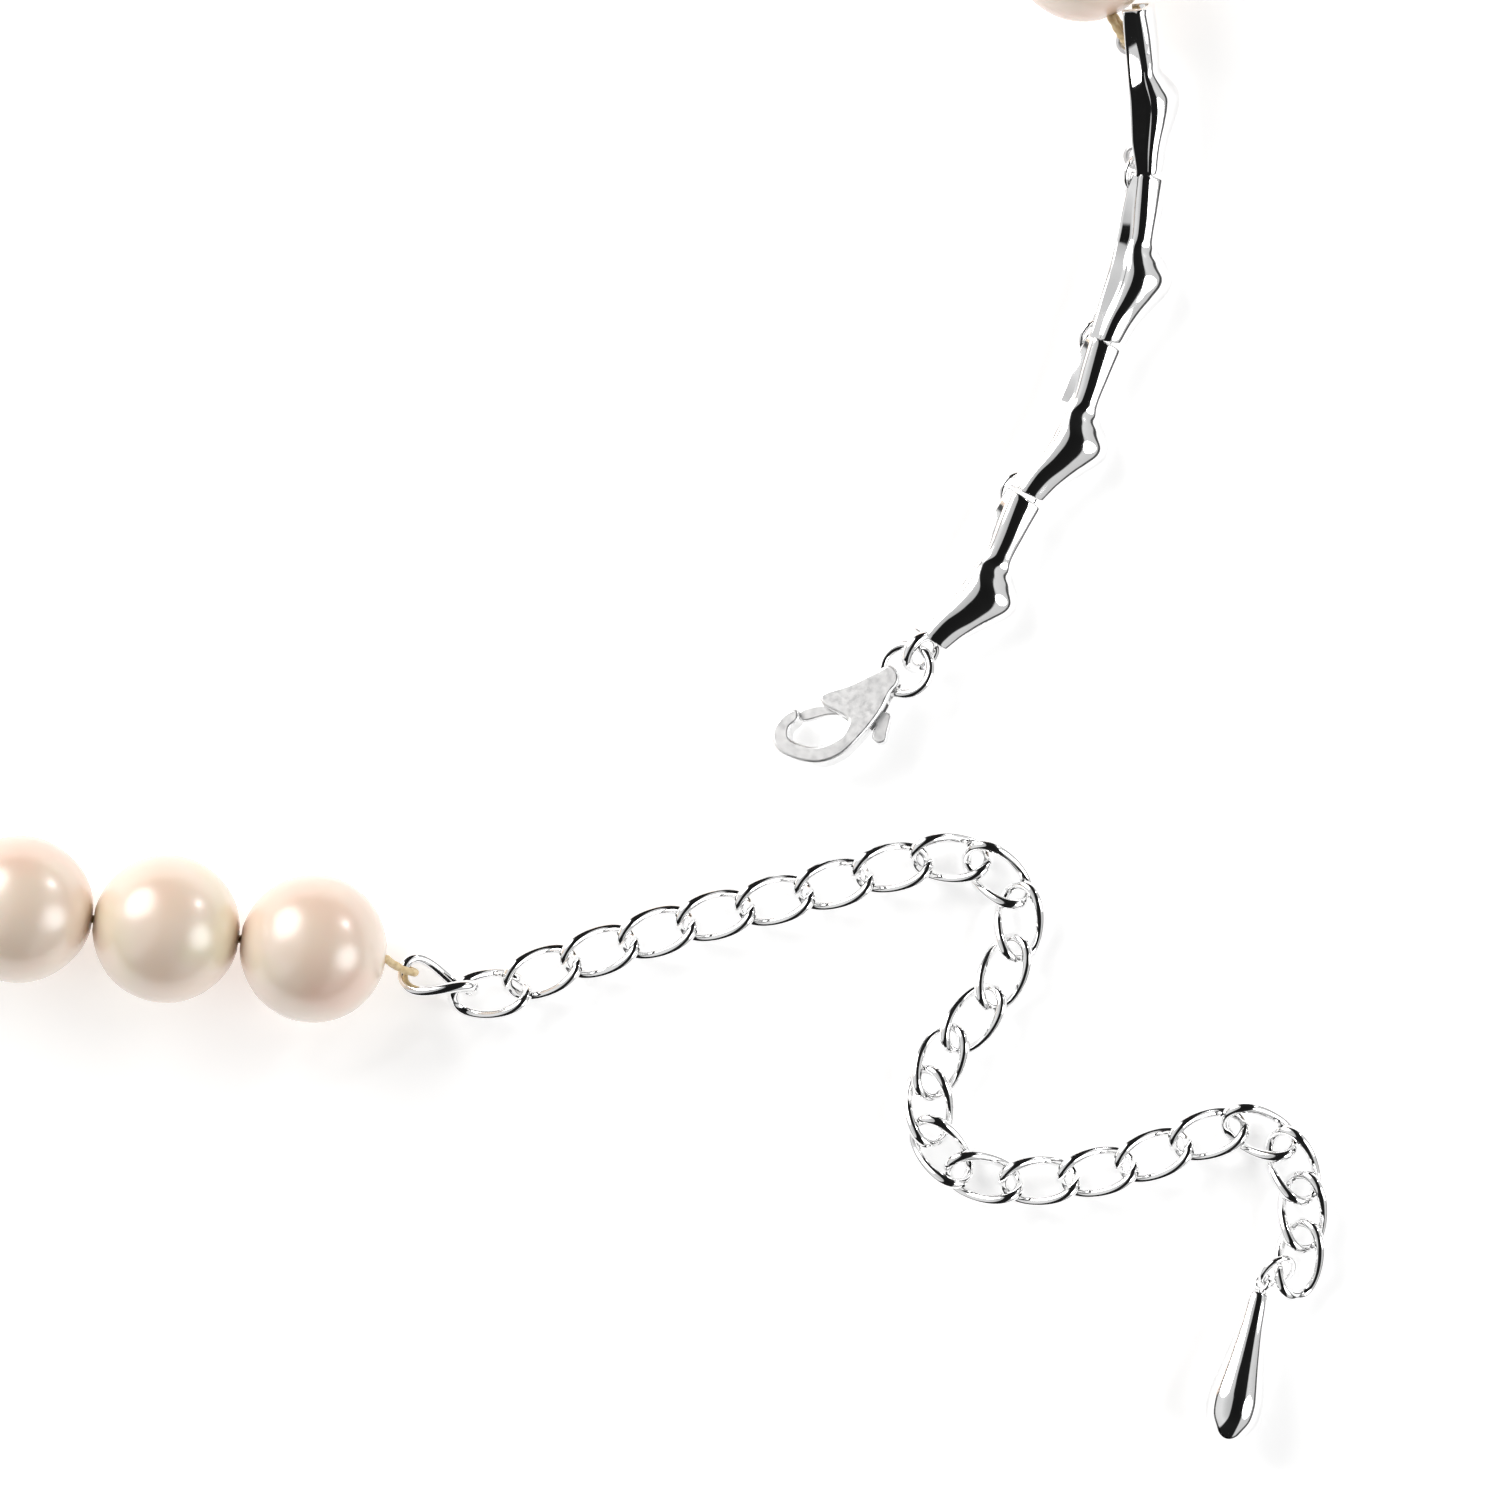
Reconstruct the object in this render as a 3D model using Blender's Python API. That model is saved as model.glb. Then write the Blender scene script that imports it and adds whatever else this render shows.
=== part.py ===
"""Pearl necklace with a lobster clasp, four folded bar links and a curb extender chain, laid flat and open."""
import math

import bpy
from mathutils import Matrix, Vector

# Driving dimensions in millimetres and degrees. The floor is z = 0.
PEARL_R = 4.6
PEARL_PITCH = 9.25
DRILL_R = 0.5
THREAD_R = 0.35
PEARL_SIDES = 10
LINK_A = 2.33
LINK_B = 1.30
LINK_TWIST = 0.62
LINK_WIRE_R = 0.34
LINK_Z = 0.97
GIMP_R = 0.17
BAR_LENGTH = 10.4
BAR_WALL = 0.38
EYE_INSET = 0.95
EYE_DEPTH = -0.78
EYE_HOLE_R = 0.48
EYE_OUTER_R = 0.8
BAR_RING_WIRE_R = 0.17
CLASP_THICKNESS = 1.8
CLASP_TILT = -13.0
PIN_R = 0.30
PIN_HOLE_R = 0.36
TRIGGER_THICKNESS = 0.7
SLOT_THICKNESS = 0.9
SOLDERED_RING = (1.15, 0.38)
CLASP_RING = (1.57, 0.33)
END_RING = (1.12, 0.22)
DROP_LOOP = (0.5, 0.18)
STRAND_START = Vector((-27.2, -12.4))
STRAND_END = Vector((20.8, 50.0))
STRAND_HEADING = 172.3
STRAND_LEAD = 22.0
STRAND_ARC_R = 60.0
STRAND_ARC_END = 108.0
STRAND_TAIL = 19.0

UP = Vector((0, 0, 1))
nodes = {}
parents = {}


# ---------------------------------------------------------------- meshes
def facing_out(verts, faces):
    volume = 0.0
    for face in faces:
        first = verts[face[0]]
        for b, c in zip(face[1:], face[2:]):
            volume += first.dot(verts[b].cross(verts[c]))
    if volume > 0:
        return faces
    return [list(reversed(face)) for face in faces]


def loft(rings, wrap=False):
    """A closed solid through rings with the same number of points."""
    count = len(rings[0])
    verts = [Vector(p) for ring in rings for p in ring]
    faces = []
    spans = len(rings) if wrap else len(rings) - 1
    for i in range(spans):
        a = i * count
        b = ((i + 1) % len(rings)) * count
        for j in range(count):
            k = (j + 1) % count
            faces.append([a + j, a + k, b + k, b + j])
    if not wrap:
        faces.append(list(reversed(range(count))))
        last = (len(rings) - 1) * count
        faces.append([last + j for j in range(count)])
    return verts, facing_out(verts, faces)


def circle(centre, ex, ey, radius, sides, phase=0.0):
    ring = []
    for i in range(sides):
        angle = 2 * math.pi * (i + phase) / sides
        ring.append(centre + ex * (radius * math.cos(angle)) + ey * (radius * math.sin(angle)))
    return ring


def sweep(points, normal, radius, sides, closed=True):
    """A round wire along points. Its cross-section is kept square to the path and turned towards normal."""
    rings = []
    count = len(points)
    for i, point in enumerate(points):
        if closed:
            ahead, behind = points[(i + 1) % count], points[i - 1]
        else:
            ahead, behind = points[min(i + 1, count - 1)], points[max(i - 1, 0)]
        along = (ahead - behind).normalized()
        ex = (normal - along * normal.dot(along)).normalized()
        ey = along.cross(ex)
        rings.append(circle(point, ex, ey, radius, sides))
    return loft(rings, wrap=closed)


def torus(centre, ex, ey, mean_r, wire_r, steps, sides):
    path = circle(centre, ex, ey, mean_r, steps)
    return sweep(path, ex.cross(ey).normalized(), wire_r, sides)


def cylinder(centre, axis, radius, half, sides):
    axis = axis.normalized()
    ex = axis.orthogonal().normalized()
    ey = axis.cross(ex)
    return loft([circle(centre - axis * half, ex, ey, radius, sides), circle(centre + axis * half, ex, ey, radius, sides)])


def lathe(top, axis, profile, sides):
    """Rings of (distance along axis, radius)."""
    ex = axis.orthogonal().normalized()
    ey = axis.cross(ex)
    return loft([circle(top + axis * s, ex, ey, r, sides) for s, r in profile])


def inset(outline, amount):
    """The outline moved inwards by amount, for outlines listed counterclockwise or clockwise."""
    area = 0.0
    count = len(outline)
    for i in range(count):
        x0, y0 = outline[i]
        x1, y1 = outline[(i + 1) % count]
        area += x0 * y1 - x1 * y0
    side = 1.0 if area > 0 else -1.0
    moved = []
    for i in range(count):
        before = Vector(outline[i]) - Vector(outline[i - 1])
        after = Vector(outline[(i + 1) % count]) - Vector(outline[i])
        n0 = Vector((-before.y, before.x)).normalized() * side
        n1 = Vector((-after.y, after.x)).normalized() * side
        middle = (n0 + n1).normalized()
        reach = amount / max(0.6, middle.dot(n0))
        moved.append((outline[i][0] + middle.x * reach, outline[i][1] + middle.y * reach))
    return moved


class Frame:
    """Local axes placed in the world."""

    def __init__(self, origin, ex, ey, ez):
        self.origin = origin
        self.ex = ex
        self.ey = ey
        self.ez = ez

    def at(self, x, y, z):
        return self.origin + self.ex * x + self.ey * y + self.ez * z


def plate(frame, outline, low, high, chamfer=0.0):
    """A flat plate on the frame's x and y, with both rims chamfered."""
    if chamfer == 0:
        levels = [(low, outline), (high, outline)]
    else:
        small = inset(outline, chamfer)
        levels = [(low, small), (low + chamfer, outline), (high - chamfer, outline), (high, small)]
    return loft([[frame.at(x, y, z) for x, y in shape] for z, shape in levels])


# ---------------------------------------------------------------- scene objects
def clear_scene():
    for obj in list(bpy.data.objects):
        bpy.data.objects.remove(obj, do_unlink=True)


MATERIALS = {
    "pearl": ((0.86, 0.79, 0.70), 0.0, 0.22),
    "silver": ((0.86, 0.86, 0.87), 1.0, 0.12),
    "gimp": ((0.80, 0.66, 0.42), 0.0, 0.55),
}


def material(slot):
    found = bpy.data.materials.get(slot)
    if found:
        return found
    color, metallic, roughness = MATERIALS[slot]
    made = bpy.data.materials.new(slot)
    made.use_nodes = True
    shader = made.node_tree.nodes["Principled BSDF"]
    shader.inputs["Base Color"].default_value = (*color, 1.0)
    shader.inputs["Metallic"].default_value = metallic
    shader.inputs["Roughness"].default_value = roughness
    return made


def make_object(name, shape, pivot):
    verts, faces = shape
    mesh = bpy.data.meshes.new(name)
    mesh.from_pydata([(v - pivot) * 0.001 for v in verts], [], faces)
    mesh.update()
    obj = bpy.data.objects.new(name, mesh)
    obj.location = pivot * 0.001
    bpy.context.scene.collection.objects.link(obj)
    return obj


def add(name, shape, pivot, slot, parent=None):
    obj = make_object(name, shape, pivot)
    obj.data.materials.append(material(slot))
    nodes[name] = obj
    if parent:
        parents[name] = parent
    return obj


def combine(target, label, shape, operation):
    helper = make_object(label, shape, Vector(target.location) * 1000)
    helper.hide_render = True
    helper.display_type = "WIRE"
    helper.parent = target
    helper.matrix_parent_inverse = Matrix.Translation(-Vector(target.location))
    step = target.modifiers.new(label, "BOOLEAN")
    step.operation = operation
    step.solver = "EXACT"
    step.object = helper


def attach_all():
    for name, parent in parents.items():
        obj = nodes[name]
        obj.parent = nodes[parent]
        obj.matrix_parent_inverse = Matrix.Translation(-Vector(nodes[parent].location))


def centre_on_floor(root):
    """Moves the whole tree so that the middle of its footprint is the origin and its lowest point is on the floor."""
    bpy.context.view_layer.update()
    graph = bpy.context.evaluated_depsgraph_get()
    low = Vector((1e9, 1e9, 1e9))
    high = Vector((-1e9, -1e9, -1e9))
    for obj in nodes.values():
        evaluated = obj.evaluated_get(graph)
        mesh = evaluated.to_mesh()
        for vertex in mesh.vertices:
            place = evaluated.matrix_world @ vertex.co
            low = Vector(map(min, low, place))
            high = Vector(map(max, high, place))
        evaluated.to_mesh_clear()
    root.location -= Vector(((low.x + high.x) / 2, (low.y + high.y) / 2, low.z))


# ---------------------------------------------------------------- strand
def heading(angle):
    return Vector((math.cos(math.radians(angle)), math.sin(math.radians(angle))))


def half_ellipse(start, across, along, semi_across, semi_along, steps=720):
    centre = start + across * semi_across
    path = []
    for i in range(steps + 1):
        angle = math.pi * i / steps
        path.append(centre - across * (semi_across * math.cos(angle)) + along * (semi_along * math.sin(angle)))
    return path


def path_length(path):
    return sum((b - a).length for a, b in zip(path, path[1:]))


def strand_path():
    """Straight lead, wide arc, half-ellipse and straight tail, from the chain end round to the clasp end."""
    path = [STRAND_START.copy()]
    for i in range(1, 23):
        path.append(STRAND_START + heading(STRAND_HEADING) * (STRAND_LEAD * i / 22))
    start = path[-1]
    centre = start + heading(STRAND_HEADING - 90) * STRAND_ARC_R
    turned = STRAND_HEADING - STRAND_ARC_END
    for i in range(1, 181):
        angle = STRAND_HEADING + 90 - turned * i / 180
        path.append(centre + heading(angle) * STRAND_ARC_R)
    west = path[-1]
    along = heading(STRAND_ARC_END)
    across = heading(STRAND_ARC_END - 90)
    tail = (west - STRAND_END).dot(along)
    east = STRAND_END + along * tail
    semi_across = (east - west).dot(across) / 2
    wanted = 36 * PEARL_PITCH - path_length(path) - tail
    low, high = 40.0, 140.0
    for _ in range(40):
        middle = (low + high) / 2
        if path_length(half_ellipse(west, across, along, semi_across, middle)) < wanted:
            low = middle
        else:
            high = middle
    path += half_ellipse(west, across, along, semi_across, low)[1:]
    path.append(STRAND_END.copy())
    return path


def pearl_centres():
    path = strand_path()
    centres = [path[0]]
    travelled = 0.0
    for a, b in zip(path, path[1:]):
        span = (b - a).length
        while travelled + span >= PEARL_PITCH * len(centres) - 1e-6 and len(centres) < 37:
            centres.append(a.lerp(b, (PEARL_PITCH * len(centres) - travelled) / span))
        travelled += span
    return [Vector((c.x, c.y, PEARL_R)) for c in centres]


def ball_rings(centre, axis, opening):
    """Rings of one ball, from pole to pole along axis."""
    ex = UP
    ey = axis.cross(ex).normalized()
    start = math.asin(opening / PEARL_R)
    rings = []
    for i in range(7):
        angle = start + (math.pi - 2 * start) * i / 6
        place = centre - axis * (PEARL_R * math.cos(angle))
        rings.append(circle(place, ex, ey, PEARL_R * math.sin(angle), PEARL_SIDES))
    return rings


def bored_pearl(centre, axis):
    return loft(ball_rings(centre, axis, DRILL_R), wrap=True)


def pearl_group(centres, axes):
    """Three pearls on their thread, as one solid."""
    rings = []
    for centre, axis in zip(centres, axes):
        rings += ball_rings(centre, axis, THREAD_R)
    return loft(rings)


def build_strand():
    centres = pearl_centres()
    axes = []
    for i, centre in enumerate(centres):
        axes.append((centres[min(i + 1, 36)] - centres[max(i - 1, 0)]).normalized())
    axes[36] = (Vector((23.15, 44.3, PEARL_R)) - centres[36]).normalized()
    groups = [(0,), (1,), (2,)] + [(i, i + 1, i + 2) for i in range(3, 36, 3)] + [(36,)]
    names = []
    for group in groups:
        if len(group) == 1:
            names.append("pearl_%02d" % (group[0] + 1))
        else:
            names.append("pearls_%02d_%02d" % (group[0] + 1, group[-1] + 1))
    root = names.index("pearls_19_21")
    for i, group in enumerate(groups):
        if i < root:
            pivot, parent = centres[group[-1]], names[i + 1]
        elif i > root:
            pivot, parent = centres[group[0]], names[i - 1]
        else:
            pivot, parent = centres[group[1]], None
        if len(group) == 1:
            shape = bored_pearl(centres[group[0]], axes[group[0]])
        else:
            shape = pearl_group([centres[k] for k in group], [axes[k] for k in group])
        add(names[i], shape, pivot, "pearl", parent)
    return centres, axes, names[root]


# ---------------------------------------------------------------- thread loops
def smooth(points, steps):
    """A rounded path through points."""
    path = []
    last = len(points) - 1
    for i in range(last):
        p0 = points[max(i - 1, 0)]
        p1, p2 = points[i], points[i + 1]
        p3 = points[min(i + 2, last)]
        for k in range(steps):
            t = k / steps
            path.append(0.5 * ((2 * p1) + (p2 - p0) * t + (2 * p0 - 5 * p1 + 4 * p2 - p3) * t * t
                               + (3 * p1 - p0 - 3 * p2 + p3) * t ** 3))
    path.append(points[-1])
    return path


def gimp_loop(hole, inward, side, middle, middle_half, far, far_half):
    """Both strands leave one drill hole, pass to each side and close round the far end."""
    onward = (far - middle).normalized()
    across = (side - inward * side.dot(inward)).normalized() * 0.22
    points = [
        hole + inward * 0.6 + across,
        hole + across,
        middle + side * middle_half,
        far - onward * 0.25 + side * far_half,
        far + onward * 0.12 + side * (far_half * 0.45),
        far + onward * 0.12 - side * (far_half * 0.45),
        far - onward * 0.25 - side * far_half,
        middle - side * middle_half,
        hole - across,
        hole + inward * 0.6 - across,
    ]
    path = smooth(points, 2)
    normal = side.cross(onward).normalized()
    return sweep(path, normal, GIMP_R, 6, closed=False)


# ---------------------------------------------------------------- chain
# Centre x, y and heading of each lying link, from the strand to the drop.
LINKS = [
    (-16.25, -15.25, 5), (-13.0, -13.9, 21), (-9.4, -12.6, 19), (-5.8, -11.4, 18), (-2.15, -10.35, 15),
    (1.55, -9.4, 14), (5.25, -8.4, 14), (8.9, -7.35, 11), (12.55, -6.75, -4), (15.5, -7.8, -43),
    (16.85, -10.75, -92), (15.85, -13.95, -112), (13.95, -16.85, -128), (11.9, -19.5, -112), (11.2, -22.3, -85),
    (12.0, -25.1, -52), (14.6, -26.75, -15), (18.1, -26.95, 2), (21.75, -26.4, 11), (25.25, -25.35, 20),
    (28.7, -24.05, 16), (31.9, -23.9, -25), (34.0, -26.0, -68), (34.6, -28.9, -88), (34.35, -31.9, -98),
]
FIRST_LINK = (Vector((-19.45, -14.38, 1.93)), -15.0, -7.0, 117.0)


def link_shape(frame):
    path = []
    for i in range(16):
        t = 2 * math.pi * (i + 0.5) / 16
        path.append(frame.at(LINK_A * math.cos(t), LINK_B * math.sin(t), -LINK_TWIST * math.sin(2 * t)))
    return sweep(path, frame.ez, LINK_WIRE_R, 6)


def lying_frame(x, y, angle):
    ex = heading(angle).to_3d()
    return Frame(Vector((x, y, LINK_Z)), ex, UP.cross(ex), UP)


def edge_on_frame(centre, angle, slope, roll):
    flat = heading(angle) * math.cos(math.radians(slope))
    ex = Vector((flat.x, flat.y, math.sin(math.radians(slope))))
    level = UP.cross(ex).normalized()
    ey = level * math.cos(math.radians(roll)) + ex.cross(level) * math.sin(math.radians(roll))
    return Frame(centre, ex, ey, ex.cross(ey))


def build_chain():
    first = edge_on_frame(*FIRST_LINK)
    contact = first.at(-LINK_A, 0, 0)
    add("chain_link_01", link_shape(first), contact, "silver", "pearl_01")
    before = FIRST_LINK[0]
    for i, (x, y, angle) in enumerate(LINKS):
        here = Vector((x, y, LINK_Z))
        pivot = (before + here) / 2
        add("chain_link_%02d" % (i + 2), link_shape(lying_frame(x, y, angle)), pivot, "silver", "chain_link_%02d" % (i + 1))
        before = here
    return first


DROP_PROFILE = [(-0.12, 0.3), (0.1, 0.58), (0.7, 0.76), (2.4, 0.95), (4.4, 1.3), (6.1, 1.66), (7.1, 1.78), (8.2, 1.62),
                (9.1, 1.12), (9.6, 0.62), (9.8, 0.2)]
END_RING_CENTRE = Vector((33.0, -32.65, 1.35))
END_RING_HEADING = 35.0
END_RING_TILT = 52.0
DROP_LOOP_CENTRE = Vector((32.05, -33.3, 1.25))
DROP_TOP = Vector((31.86, -33.88, 1.35))
DROP_TIP = Vector((29.6, -43.9, 1.98))


def build_drop():
    ex = heading(END_RING_HEADING).to_3d()
    ey = (UP.cross(ex) * math.cos(math.radians(END_RING_TILT)) + UP * math.sin(math.radians(END_RING_TILT))).normalized()
    pivot = END_RING_CENTRE + ex * END_RING[0]
    ring = torus(END_RING_CENTRE, ex, ey, END_RING[0], END_RING[1], 14, 6)
    add("end_ring", ring, pivot, "silver", "chain_link_26")
    axis = (DROP_TIP - DROP_TOP).normalized()
    drop = add("drop_pendant", lathe(DROP_TOP, axis, DROP_PROFILE, 14), DROP_LOOP_CENTRE, "silver", "end_ring")
    down = (DROP_TOP - DROP_LOOP_CENTRE).normalized()
    across = (ex.cross(ey) - down * ex.cross(ey).dot(down)).normalized()
    combine(drop, "drop_loop", torus(DROP_LOOP_CENTRE, down, across, DROP_LOOP[0], DROP_LOOP[1], 12, 6), "UNION")


# ---------------------------------------------------------------- bar links
def blend(stations, at):
    for (a, x), (b, y) in zip(stations, stations[1:]):
        if at <= b:
            share = (at - a) / (b - a)
            share = share * share * (3 - 2 * share)
            return x + (y - x) * share
    return stations[-1][1]


# Along the bar, in its own axes: middle, half-width, foot and crest of the arched front, then the straight back edges.
ARCH_MIDDLE = [(0, 0.34), (3.9, 1.0), (4.4, 1.05), (5.9, 1.5), (8.2, 0.9), (10.75, 0.08)]
ARCH_HALF = [(0, 1.12), (3.9, 1.0), (4.3, 0.95), (5.9, 1.78), (8.2, 1.38), (10.75, 1.06)]
ARCH_FOOT = [(0, 0.15), (4.2, 0.1), (5.9, 0.45), (8.2, 0.25), (10.75, 0.15)]
ARCH_CREST = [(0, 0.76), (3.7, 0.74), (4.25, 0.6), (5.7, 1.62), (6.4, 1.58), (8.4, 1.02), (10.75, 0.7)]
LEFT_BACK = [(0, -1.1), (4.3, -0.8), (10.75, -1.1)]
RIGHT_BACK = [(0, 1.05), (4.3, 1.3), (10.75, 1.05)]
BACK = [(0, -0.12), (2.0, -0.12), (2.7, -0.7), (8.0, -0.7), (8.7, -0.12), (10.75, -0.12)]
BACK_TOP_BAR = [(0, -0.7), (8.0, -0.7), (8.7, -0.12), (10.75, -0.12)]
BACK_LAST_BAR = [(0, -0.12), (2.0, -0.12), (2.7, -0.7), (10.75, -0.7)]


def bar_section(frame, at, back_stations, wall):
    """A channel open at the back, whose arched front leans out to one side."""
    middle, half = blend(ARCH_MIDDLE, at), blend(ARCH_HALF, at)
    foot, crest = blend(ARCH_FOOT, at), blend(ARCH_CREST, at)
    left, right = blend(LEFT_BACK, at), blend(RIGHT_BACK, at)
    back = blend(back_stations, at)
    share = (foot - back) / (foot + 0.7)
    edge_left = middle - half + (left - middle + half) * share
    edge_right = middle + half + (right - middle - half) * share
    outer = [(edge_left, back)]
    inner = [(edge_right - wall, back)]
    for i in range(7):
        angle = math.pi * (1 - i / 6)
        outer.append((middle + half * math.cos(angle), foot + (crest - foot) * math.sin(angle)))
    outer.append((edge_right, back))
    roof = crest - wall
    low = min(foot - 0.05, roof - 0.08)
    for i in range(5):
        angle = math.pi * i / 4
        inner.append((middle + (half - wall * 1.15) * math.cos(angle), low + (roof - low) * math.sin(angle)))
    inner.append((edge_left + wall, back))
    return [frame.at(at, w, f) for w, f in outer + inner]


def bar_frame(upper, lower, roll):
    along = (lower - upper).normalized()
    level = (UP - along * UP.dot(along)).normalized()
    front = level * math.cos(math.radians(roll)) + level.cross(along) * math.sin(math.radians(roll))
    middle = (upper + lower) / 2
    return Frame(middle - along * (BAR_LENGTH / 2), along, front.cross(along), front)


def eye_point(frame, inset_by, lower):
    at = BAR_LENGTH - inset_by if lower else inset_by
    return frame.at(at, 0, EYE_DEPTH)


def eye_tab(frame, inset_by, lower):
    """A plate with a hole, standing in the channel."""
    at = BAR_LENGTH - inset_by if lower else inset_by
    top = blend(ARCH_CREST, at) - 0.22
    outer = []
    inner = []
    for i in range(12):
        angle = 2 * math.pi * (i + 0.5) / 12
        x = EYE_OUTER_R * math.cos(angle)
        z = EYE_DEPTH + EYE_OUTER_R * math.sin(angle)
        if math.sin(angle) > 0.8:
            z = top
            x *= 1.9
        elif math.sin(angle) > 0.3:
            z = top
            x = math.copysign(0.72, x)
        outer.append((x, z))
        inner.append((EYE_HOLE_R * math.cos(angle), EYE_DEPTH + EYE_HOLE_R * math.sin(angle)))
    rings = []
    for shape, level in ((outer, 0.2), (outer, -0.2), (inner, -0.2), (inner, 0.2)):
        rings.append([frame.at(at + x, level, z) for x, z in shape])
    return loft(rings, wrap=True)


BARS = [
    (Vector((24.21, 45.84, 5.34)), Vector((24.9, 36.39, 2.66)), 102.0, 2.1, EYE_INSET),
    (Vector((24.79, 35.66, 2.52)), Vector((22.33, 25.82, 1.87)), 48.0, EYE_INSET, EYE_INSET),
    (Vector((22.07, 25.45, 1.6)), Vector((17.32, 16.11, 1.6)), 35.0, EYE_INSET, EYE_INSET),
    (Vector((17.06, 15.75, 1.6)), Vector((11.31, 6.94, 1.55)), 35.0, EYE_INSET, None),
]


def build_bars():
    frames = [bar_frame(upper, lower, roll) for upper, lower, roll, _, _ in BARS]
    eyes = []
    for i, (frame, bar) in enumerate(zip(frames, BARS)):
        upper_inset, lower_inset = bar[3], bar[4]
        upper = eye_point(frame, upper_inset, False)
        lower = eye_point(frame, lower_inset, True) if lower_inset else None
        eyes.append((upper, lower))
    parent = "pearl_37"
    for i, (frame, bar) in enumerate(zip(frames, BARS)):
        name = "bar_link_%d" % (i + 1)
        back = BACK_TOP_BAR if i == 0 else BACK_LAST_BAR if i == 3 else BACK
        stations = [0.0, 2.0, 2.7, 3.7, 4.3, 4.8, 5.3, 5.9, 6.6, 8.0, 8.7, 10.75]
        shape = loft([bar_section(frame, at, back, BAR_WALL) for at in stations])
        obj = add(name, shape, eyes[i][0], "silver", parent)
        combine(obj, name + "_upper_tab", eye_tab(frame, bar[3], False), "UNION")
        if bar[4]:
            combine(obj, name + "_lower_tab", eye_tab(frame, bar[4], True), "UNION")
            near, far = eyes[i][1], eyes[i + 1][0]
            along = (far - near).normalized()
            width = frame.ey + frames[i + 1].ey
            width = (width - along * width.dot(along)).normalized()
            ring = torus((near + far) / 2, along, width, (far - near).length / 2, BAR_RING_WIRE_R, 12, 6)
            parent = "bar_ring_%d" % (i + 1)
            add(parent, ring, near, "silver", name)
    return frames, eyes


# ---------------------------------------------------------------- clasp
CLASP_ORIGIN = Vector((1.93, -0.07, 1.33))
CLASP_BODY = [
    (8.75, -0.90), (8.82, -0.35), (8.6, 0.05), (7.99, 0.12), (7.22, 0.24), (5.86, 0.52), (4.5, 1.07), (3.95, 1.01),
    (3.96, 0.36), (4.62, -1.10), (4.39, -1.57), (3.36, -1.91), (1.79, -1.44), (0.83, -0.07), (1.23, 0.67),
    (2.13, 0.79), (2.37, 1.33), (1.39, 1.51), (0.33, 1.03), (0.08, -0.22), (1.33, -1.84), (2.81, -2.43),
    (4.83, -2.10), (6.45, -1.86), (7.6, -1.45), (8.35, -1.3),
]
CLASP_SLOT = [
    (3.1, 0.62), (4.5, 0.62), (5.86, 0.10), (6.85, -0.22), (6.85, -0.7), (7.1, -1.0), (7.1, -3.0), (5.3, -3.0),
    (5.3, -1.9), (4.75, -1.3), (3.4, -0.9),
]
TRIGGER_PIVOT = (5.3, -0.45)
TRIGGER = [
    (2.56, 1.26), (2.24, 0.62), (3.65, -0.05), (4.55, -0.75), (5.0, -1.15), (5.55, -1.75), (5.75, -2.35), (5.3, -2.65),
    (5.02, -3.0), (5.15, -3.45), (5.6, -3.6), (5.95, -3.3), (6.5, -2.85), (6.85, -2.45), (6.6, -2.0), (6.45, -1.6),
    (6.1, -0.95), (5.85, -0.3), (5.5, 0.05), (4.9, 0.12), (4.2, 0.48),
]
SPRING = [(6.3, -0.95), (6.62, -0.62), (6.25, -0.28), (6.02, -0.2)]


def clasp_frame():
    e1 = Vector((0.796, 0.605, 0)).normalized()
    flat = UP.cross(e1)
    turn = Matrix.Rotation(math.radians(CLASP_TILT), 3, e1)
    return Frame(CLASP_ORIGIN, e1, turn @ flat, turn @ UP)


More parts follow.
